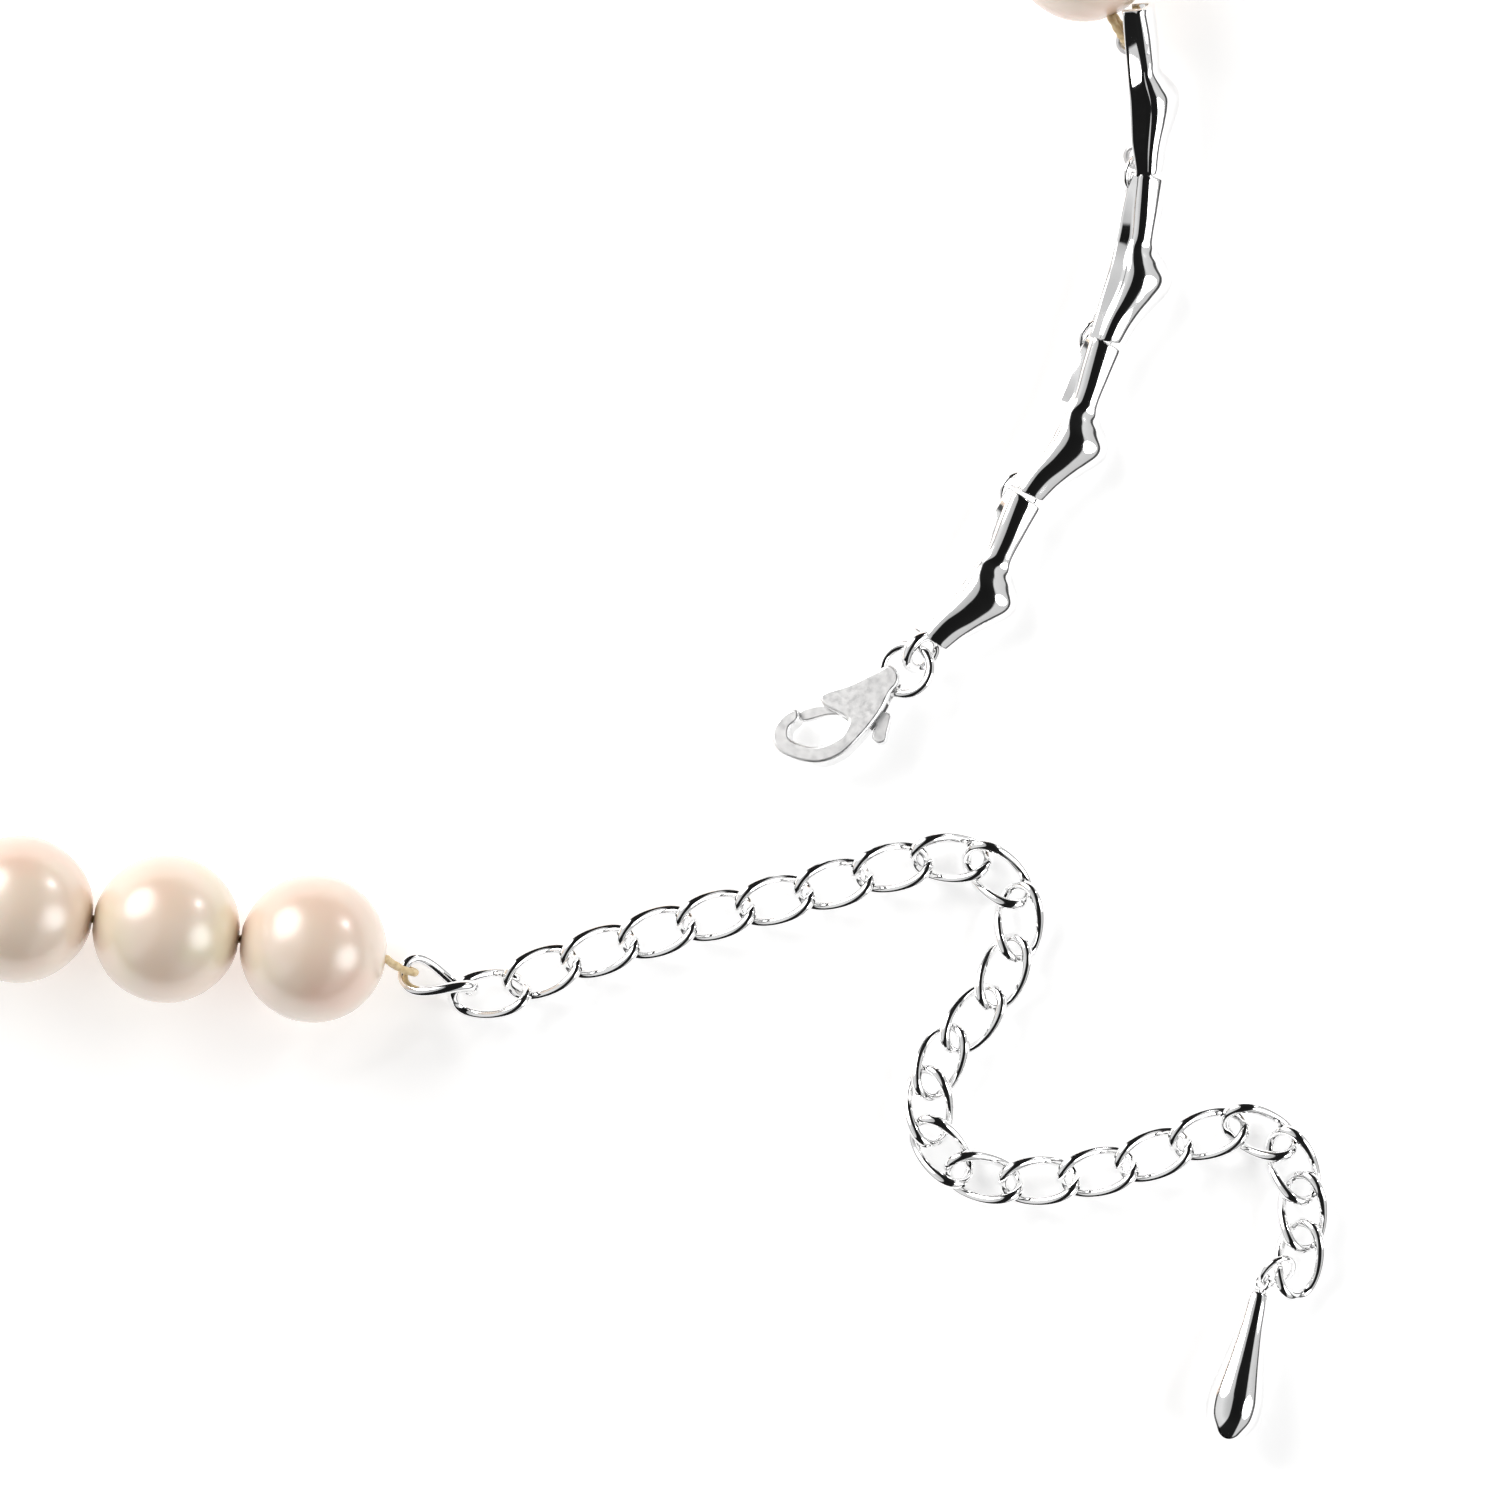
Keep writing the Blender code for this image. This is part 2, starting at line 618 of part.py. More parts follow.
def build_clasp(frames):
    last = frames[3]
    ring_a_dir = Vector((0.62, 0.78, 0)).normalized()
    s = Vector((-0.78, 0.62, 0)).normalized()
    a_second = s * math.cos(math.radians(50)) + UP * math.sin(math.radians(50))
    ring_a_centre = last.at(BAR_LENGTH + SOLDERED_RING[0] - 0.1, 0, -0.1)
    ring_a_centre.z = 1.35
    bar = nodes["bar_link_4"]
    combine(bar, "soldered_ring", torus(ring_a_centre, ring_a_dir, a_second, SOLDERED_RING[0], SOLDERED_RING[1], 16, 8), "UNION")
    b_second = s * math.cos(math.radians(20)) - UP * math.sin(math.radians(20))
    ring_b_centre = Vector((9.755, 5.037, 1.6))
    contact = (ring_b_centre + ring_a_dir * CLASP_RING[0] + ring_a_centre - ring_a_dir * SOLDERED_RING[0]) / 2
    add("clasp_ring", torus(ring_b_centre, ring_a_dir, b_second, CLASP_RING[0], CLASP_RING[1], 16, 6), contact, "silver", "bar_link_4")
    frame = clasp_frame()
    half = CLASP_THICKNESS / 2
    eye = frame.at(7.75, -0.75, 0)
    body = add("clasp_body", plate(frame, CLASP_BODY, -half, half, 0.2), eye, "silver", "clasp_ring")
    combine(body, "clasp_slot", plate(frame, CLASP_SLOT, -SLOT_THICKNESS / 2, SLOT_THICKNESS / 2), "DIFFERENCE")
    combine(body, "clasp_eye", cylinder(frame.at(7.84, -0.6, -0.02), frame.ey, 0.64, 2.5, 12), "DIFFERENCE")
    pivot = frame.at(TRIGGER_PIVOT[0], TRIGGER_PIVOT[1], 0)
    combine(body, "clasp_pin_hole", cylinder(pivot, frame.ez, PIN_HOLE_R, 2.0, 12), "DIFFERENCE")
    trigger = add("clasp_trigger", plate(frame, TRIGGER, -TRIGGER_THICKNESS / 2, TRIGGER_THICKNESS / 2), pivot, "silver", "clasp_body")
    combine(trigger, "trigger_hole", cylinder(pivot, frame.ez, PIN_HOLE_R, 1.0, 12), "DIFFERENCE")
    add("clasp_pin", cylinder(pivot, frame.ez, PIN_R, half - 0.02, 12), pivot, "silver", "clasp_body")
    strip = [frame.at(x, y, 0) for x, y in SPRING]
    add("clasp_spring", sweep(strip, frame.ez, 0.09, 6, closed=False), pivot, "silver", "clasp_body")


# ---------------------------------------------------------------- assembly
clear_scene()
pearl_places, pearl_axes, root_name = build_strand()
chain_start = build_chain()
first_hole = pearl_places[0] - pearl_axes[0] * (PEARL_R - 0.03)
link_end = chain_start.at(-LINK_A, 0, 0)
loop_far = chain_start.at(-LINK_A + 0.58, -0.2, 0.0)
loop_side = (chain_start.ez * 0.42 - chain_start.ey * 0.9 - chain_start.ex * 0.2).normalized()
add("thread_loop_chain", gimp_loop(first_hole, pearl_axes[0], loop_side, first_hole.lerp(link_end, 0.72), 0.86, loop_far, 0.75),
    pearl_places[0], "gimp", "pearl_01")
build_drop()
bar_frames, bar_eyes = build_bars()
last_hole = pearl_places[36] + pearl_axes[36] * (PEARL_R - 0.03)
top_eye = bar_eyes[0][0]
bar_width = bar_frames[0].ey
reach = last_hole - top_eye
beside = bar_width * reach.dot(bar_width)
loop_middle = top_eye + (reach - beside) * 0.45 + beside * 0.15
add("thread_loop_bar", gimp_loop(last_hole, -pearl_axes[36], -bar_width, loop_middle, 0.42, top_eye, 0.43),
    pearl_places[36], "gimp", "pearl_37")
build_clasp(bar_frames)
attach_all()
centre_on_floor(nodes[root_name])
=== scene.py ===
"""Looks of the pearl necklace: nacre, polished silver and golden thread, lying open on a pale table."""

import math

import bpy
from mathutils import Matrix, Vector, noise

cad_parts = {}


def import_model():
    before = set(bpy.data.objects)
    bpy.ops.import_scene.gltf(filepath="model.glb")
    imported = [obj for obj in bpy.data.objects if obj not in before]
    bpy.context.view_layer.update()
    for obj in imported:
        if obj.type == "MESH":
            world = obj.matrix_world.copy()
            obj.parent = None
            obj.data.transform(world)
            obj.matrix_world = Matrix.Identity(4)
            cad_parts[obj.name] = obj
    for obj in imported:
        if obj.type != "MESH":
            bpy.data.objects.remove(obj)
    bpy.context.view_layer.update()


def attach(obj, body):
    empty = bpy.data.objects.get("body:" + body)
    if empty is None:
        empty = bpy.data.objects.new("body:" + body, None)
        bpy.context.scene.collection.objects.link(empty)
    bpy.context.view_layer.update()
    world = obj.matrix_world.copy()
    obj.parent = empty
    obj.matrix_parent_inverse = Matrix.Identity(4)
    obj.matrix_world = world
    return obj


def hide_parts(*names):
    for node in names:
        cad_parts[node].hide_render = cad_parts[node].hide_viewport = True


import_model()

# The layout is in millimetres from the middle of the picture, as in the CAD.
# SHIFT moves it into the shared frame.
MM = 0.001
SHIFT = Vector((35.8246, -45.6745, 0.0))
LOOK = Vector((SHIFT.x, SHIFT.y, 0)) * MM
UP = Vector((0, 0, 1))
PEARL_R = 4.6
PITCH = 9.25
PEARLS = 37
LAST = PEARLS - 1
# A curb link's half length, half width, twist height and wire radius, and the height the flat links lie at.
LINK = (2.33, 1.30, 0.62, 0.345)
LINK_Z = 0.97
BAR_LENGTH = 10.4


# ---------------------------------------------------------------- meshes
def mesh_object(name, verts, faces, mat, body, smooth=True):
    """An object from points in millimetres, its faces turned outwards. It rides on the body, if given."""
    mesh = bpy.data.meshes.new(name)
    mesh.from_pydata([(Vector(v) + SHIFT) * MM for v in verts], [], faces)
    mesh.update()
    volume = sum(verts[f[0]].dot(verts[a].cross(verts[b])) for f in faces for a, b in zip(f[1:], f[2:]))
    if volume < 0:
        mesh.flip_normals()
    if smooth:
        mesh.shade_smooth()
    obj = bpy.data.objects.new(name, mesh)
    bpy.context.scene.collection.objects.link(obj)
    mesh.materials.append(mat)
    if body:
        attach(obj, body)
    return obj


def finish_piece(name, shape, mat, body, slot, *nodes):
    obj = mesh_object(name, *shape, mat, body)
    if nodes:
        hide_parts(*nodes)


def loft(rings, wrap=False):
    """Rings of equal count joined in order, capped at both ends unless the last ring joins the first."""
    count = len(rings[0])
    verts = [Vector(p) for ring in rings for p in ring]
    faces = []
    for i in range(len(rings) if wrap else len(rings) - 1):
        a = i * count
        b = ((i + 1) % len(rings)) * count
        for j in range(count):
            k = (j + 1) % count
            faces.append([a + j, a + k, b + k, b + j])
    if not wrap:
        faces.append(list(reversed(range(count))))
        faces.append([(len(rings) - 1) * count + j for j in range(count)])
    return verts, faces


def circle(centre, ex, ey, radius, sides):
    turns = [2 * math.pi * i / sides for i in range(sides)]
    return [centre + ex * (radius * math.cos(t)) + ey * (radius * math.sin(t)) for t in turns]


def sweep(points, normal, radius, sides, closed=True, twist=0.0, ridge=0.0, strands=2):
    """A round wire along the points. A ridge makes it a twisted rope of so many strands."""
    rings = []
    count = len(points)
    for i, point in enumerate(points):
        if closed:
            ahead, behind = points[(i + 1) % count], points[i - 1]
        else:
            ahead, behind = points[min(i + 1, count - 1)], points[max(i - 1, 0)]
        along = (ahead - behind).normalized()
        ex = (normal - along * normal.dot(along)).normalized()
        ey = along.cross(ex)
        ring = []
        for j in range(sides):
            t = 2 * math.pi * j / sides
            r = radius * (1 + ridge * math.cos(strands * (t + twist * i)))
            ring.append(point + ex * (r * math.cos(t)) + ey * (r * math.sin(t)))
        rings.append(ring)
    return loft(rings, wrap=closed)


def torus(centre, ex, ey, mean_r, wire_r, steps=64, sides=20):
    return sweep(circle(centre, ex, ey, mean_r, steps), ex.cross(ey).normalized(), wire_r, sides)


def spline(points, steps, closed=False):
    """Points as tuples or vectors, rounded through a smooth curve."""
    pts = [Vector(p) for p in points]
    last = len(pts) if closed else len(pts) - 1
    path = []
    for i in range(last):
        if closed:
            p0, p1, p2, p3 = (pts[(i + k) % len(pts)] for k in (-1, 0, 1, 2))
        else:
            p0, p1, p2, p3 = pts[max(i - 1, 0)], pts[i], pts[i + 1], pts[min(i + 2, last)]
        for k in range(steps):
            t = k / steps
            path.append(0.5 * ((2 * p1) + (p2 - p0) * t + (2 * p0 - 5 * p1 + 4 * p2 - p3) * t * t
                               + (3 * p1 - p0 - 3 * p2 + p3) * t ** 3))
    if not closed:
        path.append(pts[-1])
    return path


class Frame:
    """A place with its own three axes."""

    def __init__(self, origin, ex, ey, ez):
        self.origin, self.ex, self.ey, self.ez = origin, ex, ey, ez

    def at(self, x, y, z):
        return self.origin + self.ex * x + self.ey * y + self.ez * z


# ---------------------------------------------------------------- materials
class Nodes:
    """A new material and the few kinds of node that the looks need."""

    def __init__(self, name):
        self.mat = bpy.data.materials.new(name)
        self.mat.use_nodes = True
        self.tree = self.mat.node_tree
        self.shader = self.tree.nodes["Principled BSDF"]

    def new(self, kind):
        return self.tree.nodes.new(kind)

    def link(self, a, out, b, into):
        self.tree.links.new(a.outputs[out], b.inputs[into])

    def set(self, **values):
        for key, value in values.items():
            self.shader.inputs[key.replace("_", " ")].default_value = value

    def noise(self, scale, detail=3.0, rough=0.5, offset=(0, 0, 0)):
        coord = self.new("ShaderNodeTexCoord")
        shift = self.new("ShaderNodeMapping")
        shift.inputs["Location"].default_value = offset
        tex = self.new("ShaderNodeTexNoise")
        tex.inputs["Scale"].default_value = scale
        tex.inputs["Detail"].default_value = detail
        tex.inputs["Roughness"].default_value = rough
        self.link(coord, "Object", shift, "Vector")
        self.link(shift, "Vector", tex, "Vector")
        return tex

    def ramp(self, source, out, stops):
        node = self.new("ShaderNodeValToRGB")
        bar = node.color_ramp
        while len(bar.elements) < len(stops):
            bar.elements.new(0.5)
        for element, (at, color) in zip(bar.elements, stops):
            element.position = at
            element.color = (*color, 1.0)
        self.link(source, out, node, "Fac")
        return node

    def bump(self, source, out, strength, distance):
        node = self.new("ShaderNodeBump")
        node.inputs["Strength"].default_value = strength
        node.inputs["Distance"].default_value = distance
        self.link(source, out, node, "Height")
        self.link(node, "Normal", self.shader, "Normal")


def silver(name, roughness=0.05, wear=0.0, dents=0.10):
    n = Nodes(name)
    n.set(Metallic=1.0)
    tone = n.noise(900.0, 2.0)
    color = n.ramp(tone, "Fac", [(0.3, (0.90,) * 3), (0.7, (0.955,) * 3)])
    n.link(color, "Color", n.shader, "Base Color")
    fine = n.noise(2600.0, 4.0, 0.6)
    rough = n.ramp(fine, "Fac", [(0.35, (roughness,) * 3), (0.75, (roughness * 1.8 + wear,) * 3)])
    n.link(rough, "Color", n.shader, "Roughness")
    ripple = n.noise(420.0, 2.0)
    n.bump(ripple, "Fac", dents, 0.0001)
    return n.mat


def rough_silver(name):
    n = Nodes(name)
    n.set(Metallic=1.0, Base_Color=(0.78, 0.78, 0.79, 1))
    grain = n.noise(5200.0, 5.0, 0.7)
    rough = n.ramp(grain, "Fac", [(0.3, (0.28,) * 3), (0.7, (0.5,) * 3)])
    n.link(rough, "Color", n.shader, "Roughness")
    n.bump(grain, "Fac", 0.5, 0.00006)
    return n.mat


NACRE_TONES = [
    (0.30, (0.92, 0.67, 0.54)), (0.44, (0.93, 0.75, 0.61)), (0.56, (0.94, 0.79, 0.66)),
    (0.70, (0.88, 0.80, 0.60)),
]


def nacre(name, seed, tint):
    """Cream skin with slow pink, peach and green-gold drifts under a clear coat."""
    n = Nodes(name)
    offset = (seed * 0.37, seed * 0.73, seed * 0.19)
    slow = n.noise(170.0, 1.5, 0.4, offset)
    tones = [(at, tuple(c * t for c, t in zip(tone, tint))) for at, tone in NACRE_TONES]
    body = n.ramp(slow, "Fac", tones)
    n.link(body, "Color", n.shader, "Base Color")
    n.set(Metallic=0.0, Roughness=0.32, Specular_IOR_Level=0.9)
    n.set(Coat_Weight=1.0, Coat_Roughness=0.25, Coat_IOR=1.7)
    n.set(Sheen_Weight=0.15, Sheen_Tint=(1.0, 0.72, 0.60, 1))
    n.set(Subsurface_Weight=0.15, Subsurface_Scale=1.0, Subsurface_Radius=(0.0022, 0.0012, 0.0008))
    fine = n.noise(700.0, 4.0, 0.55, offset)
    n.bump(fine, "Fac", 0.08, 0.00018)
    return n.mat


def gimp(name):
    n = Nodes(name)
    n.set(Metallic=0.1, Roughness=0.4)
    tone = n.noise(3000.0, 3.0)
    color = n.ramp(tone, "Fac", [(0.3, (0.70, 0.50, 0.24)), (0.7, (0.92, 0.74, 0.44))])
    n.link(color, "Color", n.shader, "Base Color")
    n.bump(tone, "Fac", 0.3, 0.00005)
    return n.mat


SILVER = silver("polished_silver", dents=0.05)
CHAIN_SILVER = silver("chain_silver", 0.06, 0.02)
CLASP_SILVER = silver("clasp_silver", 0.28, 0.03, 0.0)
INNER_SILVER = rough_silver("cast_inner_silver")
GIMP = gimp("golden_gimp")
TINTS = [(1.0, 0.99, 0.98), (1.0, 0.975, 0.95), (0.995, 1.0, 0.985), (1.0, 0.985, 0.99)]
NACRE = [nacre("nacre_%d" % (i + 1), i + 1, TINTS[i % len(TINTS)]) for i in range(8)]


# ---------------------------------------------------------------- strand
# The drilled hole's radius at the skin and inside, and how far from the middle the inside radius starts.
HOLE_MOUTH, HOLE_R, HOLE_FROM = 0.45, 0.42, 3.6
THREAD_R, THREAD_HALF = 0.26, 0.9
# Counted from 0, a pearl on the root body. Each piece of thread rides on its neighbour that is nearer to it.
ROOT_PEARL = 20
STRAND_START, STRAND_END = Vector((-27.2, -12.4)), Vector((20.8, 50.0))
ROW_HEADING, ROW_LENGTH = 172.3, 22
BEND_R, BEND_ANGLE = 60.0, 64.3
TAIL_HEADING = 108.0


def heading(angle):
    return Vector((math.cos(math.radians(angle)), math.sin(math.radians(angle))))


def strand_centres():
    """Pearl centres one PITCH apart, along a straight run, a bend, a half ellipse and a straight tail."""
    path = [STRAND_START + heading(ROW_HEADING) * i for i in range(ROW_LENGTH + 1)]
    centre = path[-1] + heading(ROW_HEADING - 90) * BEND_R
    path += [centre + heading(ROW_HEADING + 90 - BEND_ANGLE * i / 180) * BEND_R for i in range(1, 181)]
    west = path[-1]
    along, across = heading(TAIL_HEADING), heading(TAIL_HEADING - 90)
    tail = (west - STRAND_END).dot(along)
    half = (STRAND_END + along * tail - west).dot(across) / 2
    middle = west + across * half

    def arch(height):
        turns = [math.pi * i / 720 for i in range(721)]
        return [middle - across * (half * math.cos(t)) + along * (height * math.sin(t)) for t in turns]

    def length(points):
        return sum((b - a).length for a, b in zip(points, points[1:]))

    wanted = LAST * PITCH - length(path) - tail
    low, high = 40.0, 140.0
    for _ in range(40):
        guess = (low + high) / 2
        low, high = (guess, high) if length(arch(guess)) < wanted else (low, guess)
    path += arch(low)[1:] + [STRAND_END]
    centres, travelled = [path[0]], 0.0
    for a, b in zip(path, path[1:]):
        span = (b - a).length
        while travelled + span >= PITCH * len(centres) - 1e-6 and len(centres) < PEARLS:
            centres.append(a.lerp(b, (PITCH * len(centres) - travelled) / span))
        travelled += span
    return [Vector((c.x, c.y, PEARL_R)) for c in centres]


def pearl_body(i):
    if i in (0, 1, 2, LAST):
        return "pearl_%02d" % (i + 1)
    first = 3 + (i - 3) // 3 * 3
    return "pearls_%02d_%02d" % (first + 1, first + 3)


def pearl(i, centre, axis):
    """A slightly uneven bead with a drilled hole, its skin dipping a little at each hole."""
    ex = UP
    ey = axis.cross(ex).normalized()
    sides, bands = 56, 34
    rings = []
    start = math.asin(HOLE_MOUTH / PEARL_R)
    seed = Vector((i * 3.1, i * 1.7, i * 2.3))
    for k in range(bands + 1):
        angle = start + (math.pi - 2 * start) * k / bands
        ring = []
        for j in range(sides):
            t = 2 * math.pi * j / sides
            way = axis * -math.cos(angle) + (ex * math.cos(t) + ey * math.sin(t)) * math.sin(angle)
            rough = 0.045 * noise.noise(way * 1.3 + seed) + 0.012 * noise.noise(way * 5.0 + seed)
            r = PEARL_R * (1.0 + rough * 0.3)
            if k in (0, bands):
                r -= 0.04
            ring.append(centre + way * r)
        rings.append(ring)
    for side in (1, -1):
        rings.append(circle(centre + axis * (side * HOLE_FROM), ex, ey, HOLE_R, sides))
    verts, faces = loft(rings, wrap=True)
    obj = mesh_object("pearl_skin_%02d" % (i + 1), verts, faces, NACRE[i % len(NACRE)], pearl_body(i))
    return obj


centres = strand_centres()
axes = [(centres[min(i + 1, LAST)] - centres[max(i - 1, 0)]).normalized() for i in range(PEARLS)]
axes[LAST] = (Vector((23.15, 44.3, PEARL_R)) - centres[LAST]).normalized()
skins = {}
for i in range(PEARLS):
    skins.setdefault(pearl_body(i), []).append(pearl(i, centres[i], axes[i]))
for body, made in skins.items():
    for obj in made:
        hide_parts(body)
for i in range(LAST):
    mid = (centres[i] + centres[i + 1]) / 2
    along = (centres[i + 1] - centres[i]).normalized()
    ends = [mid + along * s for s in (-THREAD_HALF, THREAD_HALF)]
    verts, faces = loft([circle(end, UP, along.cross(UP), THREAD_R, 12) for end in ends])
    holder = pearl_body(i) if i >= ROOT_PEARL else pearl_body(i + 1)
    mesh_object("thread_%02d" % (i + 1), verts, faces, GIMP, holder)


# ---------------------------------------------------------------- chain
# The flat links' middles and headings in degrees.
LINKS = [
    (-16.25, -15.25, 5), (-13.0, -13.9, 21), (-9.4, -12.6, 19), (-5.8, -11.4, 18), (-2.15, -10.35, 15),
    (1.55, -9.4, 14), (5.25, -8.4, 14), (8.9, -7.35, 11), (12.55, -6.75, -4), (15.5, -7.8, -43),
    (16.85, -10.75, -92), (15.85, -13.95, -112), (13.95, -16.85, -128),
    (11.9, -19.5, -112), (11.2, -22.3, -85),
    (12.0, -25.1, -52), (14.6, -26.75, -15), (18.1, -26.95, 2), (21.75, -26.4, 11), (25.25, -25.35, 20),
    (28.7, -24.05, 16), (31.9, -23.9, -25), (34.0, -26.0, -68), (34.6, -28.9, -88), (34.35, -31.9, -98),
]


def rolled_frame(centre, angle, slope, roll):
    """A frame that heads by angle, rises by slope and is then rolled about its own length, all in degrees."""
    flat = heading(angle) * math.cos(math.radians(slope))
    ex = Vector((flat.x, flat.y, math.sin(math.radians(slope))))
    level = UP.cross(ex).normalized()
    ey = level * math.cos(math.radians(roll)) + ex.cross(level) * math.sin(math.radians(roll))
    return Frame(centre, ex, ey, ex.cross(ey))


def chain_link(number, place):
    a, b, h, wire = LINK
    turns = [2 * math.pi * i / 96 for i in range(96)]
    path = [place.at(a * math.cos(t), b * math.sin(t), -h * math.sin(2 * t)) for t in turns]
    name = "chain_link_%02d" % number
    obj = mesh_object("curb_" + name, *sweep(path, place.ez, wire, 20), CHAIN_SILVER, name)
    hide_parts(name)


# The first link stands on edge, the others lie flat.
first_link = rolled_frame(Vector((-19.45, -14.38, 1.93)), -15.0, -7.0, 117.0)
chain_link(1, first_link)
for i, (x, y, angle) in enumerate(LINKS):
    chain_link(i + 2, rolled_frame(Vector((x, y, LINK_Z)), angle, 0.0, 0.0))


END_RING_LEAN = math.radians(52.0)
end_ex = heading(35.0).to_3d()
end_ey = UP.cross(end_ex) * math.cos(END_RING_LEAN) + UP * math.sin(END_RING_LEAN)
end_ring = torus(Vector((33.0, -32.65, 1.35)), end_ex, end_ey, 1.12, 0.22)
finish_piece("extender_end_ring", end_ring, CHAIN_SILVER, "end_ring", "silver", "end_ring")
# The drop's places along its axis and its radius at each.
DROP_PROFILE = [
    (-0.16, 0.16), (-0.02, 0.5), (0.5, 0.72), (2.4, 0.93), (4.4, 1.29), (6.1, 1.65),
    (7.1, 1.77), (8.2, 1.63), (9.1, 1.14), (9.6, 0.64), (9.79, 0.12),
]
drop_loop = Vector((32.05, -33.3, 1.25))
drop_top = Vector((31.86, -33.88, 1.35))
drop_tip = Vector((29.6, -43.9, 1.98))
drop_axis = (drop_tip - drop_top).normalized()
profile = spline([(x, r, 0) for x, r in DROP_PROFILE], 10)
side = drop_axis.orthogonal().normalized()
rings = [circle(drop_top + drop_axis * p.x, side, drop_axis.cross(side), max(p.y, 0.05), 64) for p in profile]
finish_piece("teardrop_body", loft(rings), SILVER, "drop_pendant", "silver", "drop_pendant")
down = (drop_top - drop_loop).normalized()
flat = end_ex.cross(end_ey)
loop_shape = torus(drop_loop, down, (flat - down * flat.dot(down)).normalized(), 0.5, 0.18)
finish_piece("teardrop_loop", loop_shape, CHAIN_SILVER, "drop_pendant", "silver")


# ---------------------------------------------------------------- bars
def smooth(stations, at):
    """A smooth curve through stations along the bar."""
    count = len(stations)
    slopes = []
    for i in range(count):
        (a, x), (b, y) = stations[max(i - 1, 0)], stations[min(i + 1, count - 1)]
        slopes.append((y - x) / (b - a))
    for i in range(count - 1):
        (a, x), (b, y) = stations[i], stations[i + 1]
        if at <= b or i == count - 2:
            t = min(max((at - a) / (b - a), 0.0), 1.0)
            first, second = slopes[i] * (b - a), slopes[i + 1] * (b - a)
            bow = t * (1 - t) * ((1 - t) * first - t * second)
            return x * (1 + 2 * t) * (1 - t) ** 2 + y * t * t * (3 - 2 * t) + bow


def ease(stations, at):
    """Level at each station, with an eased change in between."""
    for (a, x), (b, y) in zip(stations, stations[1:]):
        if at <= b:
            t = max(0.0, (at - a) / (b - a))
            return x + (y - x) * t * t * (3 - 2 * t)
    return stations[-1][1]


# Across the bar: middle and half-width of the arched front, its foot and crest, then the straight back edges.
# Each pair is a place along the bar and the measure there.
ARCH_MIDDLE = [
    (0, 0.30), (1.9, 0.55), (3.8, 0.86), (4.4, 1.05), (5.1, 1.4),
    (5.9, 1.6), (6.7, 1.56), (8.0, 1.12), (9.3, 0.62), (10.4, 0.36),
]
ARCH_HALF = [
    (0, 1.2), (1.9, 1.1), (3.8, 0.98), (4.4, 1.2), (5.1, 1.64),
    (5.9, 1.86), (6.7, 1.82), (8.0, 1.5), (9.3, 1.22), (10.4, 1.06),
]
ARCH_FOOT = [(0, 0.15), (4.2, 0.1), (5.9, 0.4), (8.2, 0.25), (10.4, 0.15)]
ARCH_CREST = [
    (0, 0.8), (2.0, 0.84), (3.6, 0.76), (4.3, 0.74), (5.0, 1.1),
    (5.8, 1.48), (6.5, 1.52), (7.4, 1.34), (8.8, 0.98), (10.4, 0.76),
]
LEFT_BACK = [(0, -1.14), (5.2, -0.85), (10.4, -1.14)]
RIGHT_BACK = [(0, 1.05), (4.3, 1.3), (10.4, 1.05)]
BACK = [(0, -0.52), (3.0, -0.58), (7.4, -0.58), (10.4, -0.52)]
BACK_TOP_BAR = [(0, -0.7), (8.0, -0.7), (10.4, -0.52)]
BACK_LAST_BAR = [(0, -0.52), (2.7, -0.6), (10.4, -0.7)]
# Upper and lower end, roll in degrees, how far in the upper and lower eyes sit, and the back's height.
BARS = [
    (Vector((24.21, 45.84, 5.34)), Vector((24.9, 36.39, 2.66)), 66.0, 2.1, 0.95, BACK_TOP_BAR),
    (Vector((24.79, 35.66, 2.52)), Vector((22.33, 25.82, 1.87)), 38.0, 0.95, 0.95, BACK),
    (Vector((22.07, 25.45, 1.6)), Vector((17.32, 16.11, 1.6)), 25.0, 0.95, 0.95, BACK),
    (Vector((17.06, 15.75, 1.6)), Vector((11.31, 6.94, 1.55)), 20.0, 0.95, None, BACK_LAST_BAR),
]
WALL, SIDE_WALL = 0.38, 1.15
LIP, LIP_CORNER = 0.1, 0.03
BACK_DEPTH = 0.7
RIM_REACH, RIM_DEPTH, RIM_RUN = 0.15, 0.12, 0.14
EYE_DEPTH, EYE_R, EYE_HOLE, EYE_HALF = -0.78, 0.8, 0.48, 0.2
TAB_HALF = 0.72
JOINING_WIRE = 0.17


def bar_frame(upper, lower, roll):
    along = (lower - upper).normalized()
    level = (UP - along * UP.dot(along)).normalized()
    front = level * math.cos(math.radians(roll)) + level.cross(along) * math.sin(math.radians(roll))
    return Frame((upper + lower) / 2 - along * (BAR_LENGTH / 2), along, front.cross(along), front)


